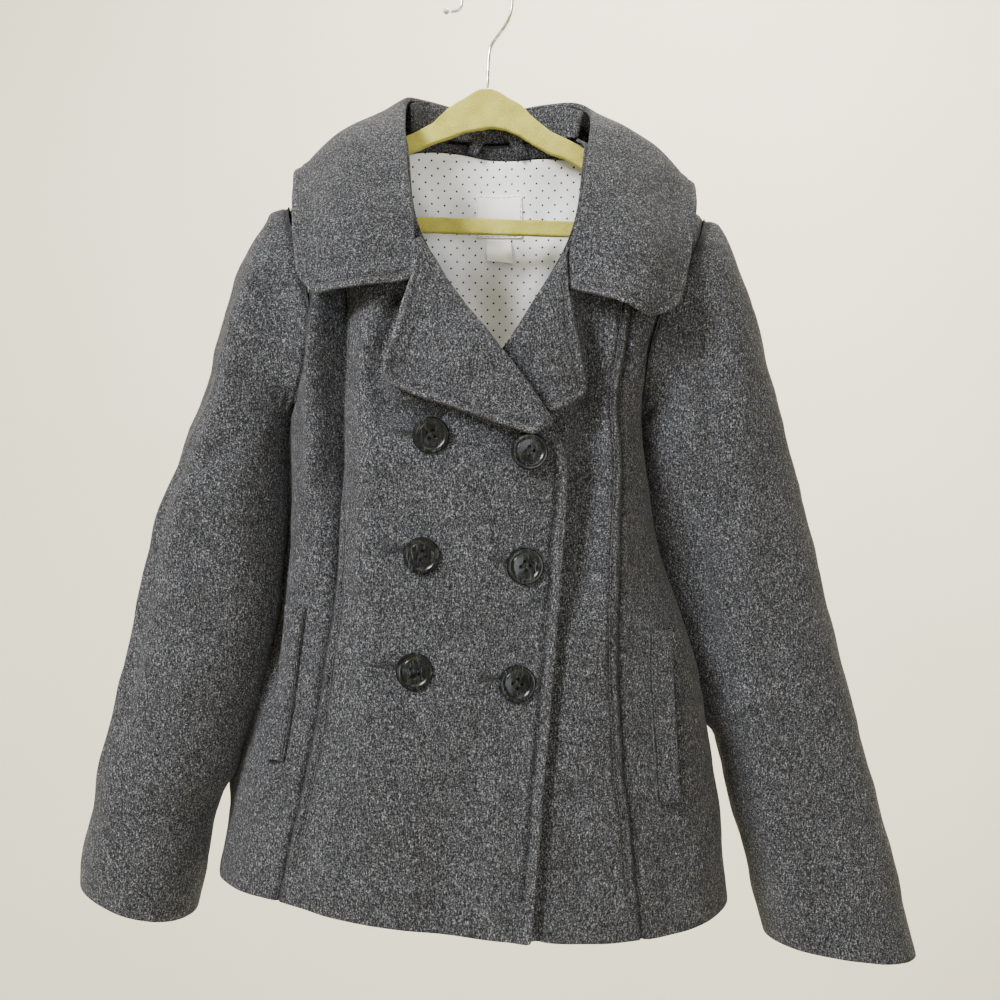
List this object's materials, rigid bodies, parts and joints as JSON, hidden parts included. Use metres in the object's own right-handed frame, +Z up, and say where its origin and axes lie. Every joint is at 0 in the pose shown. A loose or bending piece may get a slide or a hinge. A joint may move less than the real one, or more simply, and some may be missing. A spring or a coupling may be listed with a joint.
{
  "type": "pea coat",
  "caption": "Child's double-breasted wool pea coat with wide collar leaves, hung open at the neck on a flocked hanger by its wire hook.",
  "frame": {"origin": "The inner top of the wire hook, where it rests on a rail or a wall hook.", "axes": "+X is the viewer's right as the coat is seen from the front, -Y faces the viewer, +Y the wall, +Z up."},
  "size_m": [0.606, 0.1534, 0.719],
  "materials": {
    "wool": "grey melange wool melton, fulled and slightly fuzzy",
    "lining": "white cotton with small dark dots",
    "tape": "plain woven label tape, left blank",
    "horn": "glossy dark marbled button plastic",
    "flock": "olive green flock over plastic",
    "wire": "bright plated steel wire"
  },
  "bodies": {
    "root": {"front_top": "wool", "front_under": "wool", "side_front_top": "wool", "side_front_under": "wool", "back": "wool", "sleeve_left": "wool", "sleeve_right": "wool", "lapel_top": "wool", "lapel_under": "wool", "collar_fall": "wool", "collar_stand": "wool", "neck_facing": "wool", "hanging_loop": "wool", "pocket_welt_left": "wool", "pocket_welt_right": "wool", "lining_back": "lining", "neck_label": "tape", "size_tag": "tape", "button_1": "horn", "button_2": "horn", "button_3": "horn", "button_4": "horn", "button_5": "horn", "button_6": "horn", "hanger": "flock", "hanger_hook": "wire", "hook_tip": "wire"}
  },
  "joints": []
}
